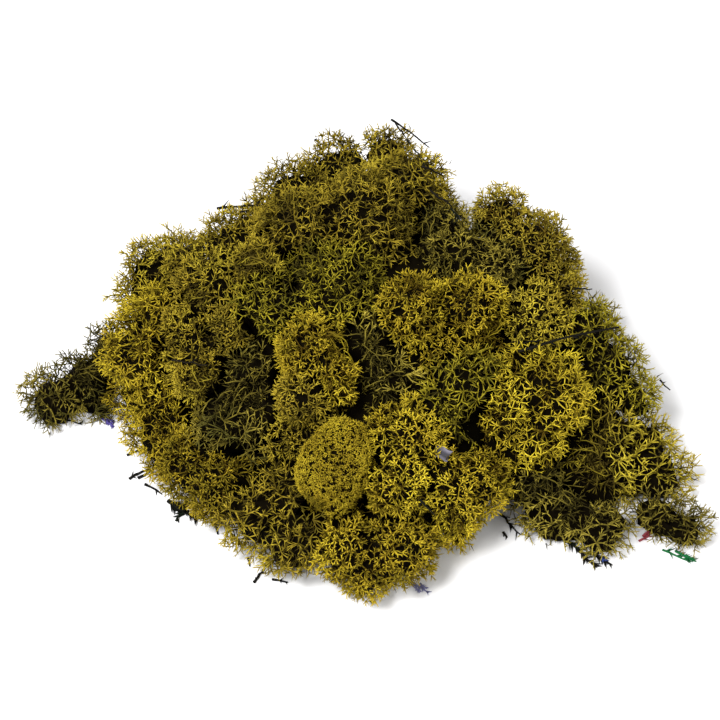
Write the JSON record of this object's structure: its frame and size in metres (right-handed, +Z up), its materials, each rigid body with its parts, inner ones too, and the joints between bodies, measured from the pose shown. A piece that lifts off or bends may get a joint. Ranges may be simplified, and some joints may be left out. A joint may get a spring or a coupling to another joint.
{
  "type": "moss clump",
  "caption": "Domed heap of preserved reindeer moss: tufts of finely forked branches pressed together, with stray twigs, resting flat.",
  "frame": {"origin": "under the middle of the heap, on the surface that it rests on", "axes": "+Z up from that surface, +X along the heap's longest side, with the heap's long gold front slope facing -Y"},
  "size_m": [0.2762, 0.2216, 0.0956],
  "materials": {
    "moss_gold": "matt, finely branched, mustard gold",
    "moss_olive": "matt, finely branched, olive",
    "moss_green": "matt, finely branched, green olive",
    "moss_brown": "matt, finely branched, brown olive",
    "moss_dusky": "matt, finely branched, dark grey green",
    "twig": "matt, nearly black"
  },
  "bodies": {
    "root": {"summit": "moss_olive", "summit_peak": "moss_olive", "back_right_cap": "moss_brown", "left_fringe": "moss_olive", "upper_left": "moss_olive", "left_bright": "moss_gold", "left_tail": "moss_dusky", "left_flank": "moss_gold", "mid_left": "moss_olive", "centre_left": "moss_dusky", "centre_top": "moss_green", "bright_knot": "moss_gold", "pale_knot": "moss_olive", "lower_left": "moss_gold", "front_left": "moss_olive", "round_head": "moss_gold", "front_knoll": "moss_gold", "front_toe": "moss_gold", "front_right": "moss_gold", "centre_knobs": "moss_gold", "right_shoulder": "moss_dusky", "right_mid": "moss_olive", "bright_cushion": "moss_gold", "open_branches": "moss_green", "right_ridge": "moss_green", "right_flank": "moss_olive", "right_toe": "moss_dusky", "right_tail": "moss_dusky", "centre_dip": "moss_dusky", "back_slope_left": "moss_olive", "back_slope_right": "moss_olive", "back_left_foot": "moss_olive", "back_foot_left": "moss_olive", "back_foot": "moss_brown", "back_middle_foot": "moss_brown", "back_right_foot": "moss_olive", "right_back_foot": "moss_dusky", "twig_right": "twig", "twig_crest": "twig", "twig_upper_left": "twig", "twig_front_left": "twig", "twig_front": "twig"}
  },
  "joints": []
}
